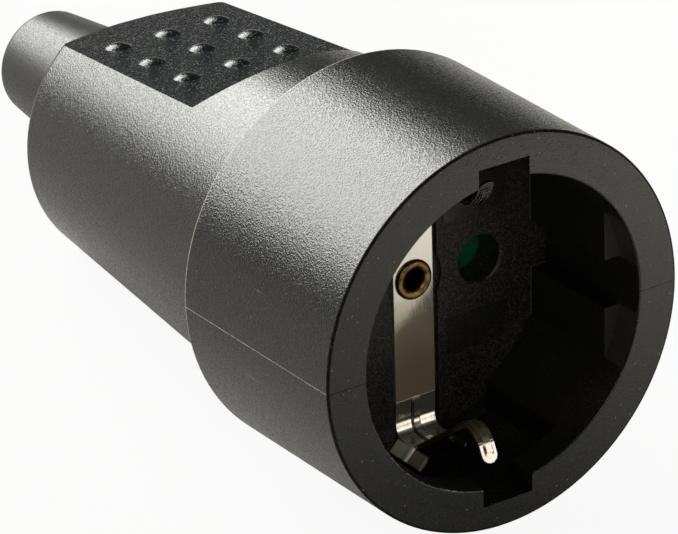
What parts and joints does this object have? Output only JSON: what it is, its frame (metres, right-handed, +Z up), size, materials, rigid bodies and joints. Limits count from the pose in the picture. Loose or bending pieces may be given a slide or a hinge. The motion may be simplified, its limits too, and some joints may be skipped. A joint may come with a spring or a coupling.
{
  "type": "inline socket connector",
  "caption": "Black inline socket connector with a round plug well, side earth clips, shuttered pin holes and a tapered studded grip with a cord sleeve.",
  "frame": {"origin": "centre of the plug well's mouth, on the socket's axis in the plane of the front rim", "axes": "+Z up as the connector lies on a table, resting on the head's rear lip and the rear edge of its lower finger pad, so the socket's axis leans by the rest angle; +Y runs from the mouth toward the cord end; +X to the right as seen facing the mouth from the front"},
  "size_m": [0.0496, 0.1069, 0.0543],
  "materials": {
    "black_plastic": "fine moulded grain",
    "sleeve_rubber": "soft matte",
    "nickel_plate": "nickel plated, polished",
    "brass": "bright drawn brass",
    "green_plastic": "semi-gloss",
    "spring_steel": "bright",
    "carrier_plastic": "satin",
    "screw_steel": "zinc plated"
  },
  "bodies": {
    "housing": {"socket_head": "black_plastic", "face_plate": "black_plastic", "earth_strap": "nickel_plate", "earth_rivet": "brass", "shutter_spring": "spring_steel", "contact_carrier": "carrier_plastic", "left_contact": "brass", "right_contact": "brass", "left_contact_spring": "spring_steel", "right_contact_spring": "spring_steel", "earth_lug": "brass", "left_terminal_screw": "screw_steel", "right_terminal_screw": "screw_steel", "earth_terminal_screw": "screw_steel", "cord_clamp": "carrier_plastic", "left_clamp_screw": "screw_steel", "right_clamp_screw": "screw_steel", "rear_body": "black_plastic", "cable_sleeve": "sleeve_rubber"},
    "shutter": {"safety_shutter": "green_plastic"}
  },
  "joints": [
    {"name": "shutter_turn", "type": "hinge", "parent": "housing", "child": "shutter", "pos_m": [0, 0.02316, -0.00528], "axis": [0, 0.975, -0.2222], "range_deg": [0, 42], "stiffness_Nm_per_rad": 0.001, "deforming": ["shutter_spring"]}
  ]
}
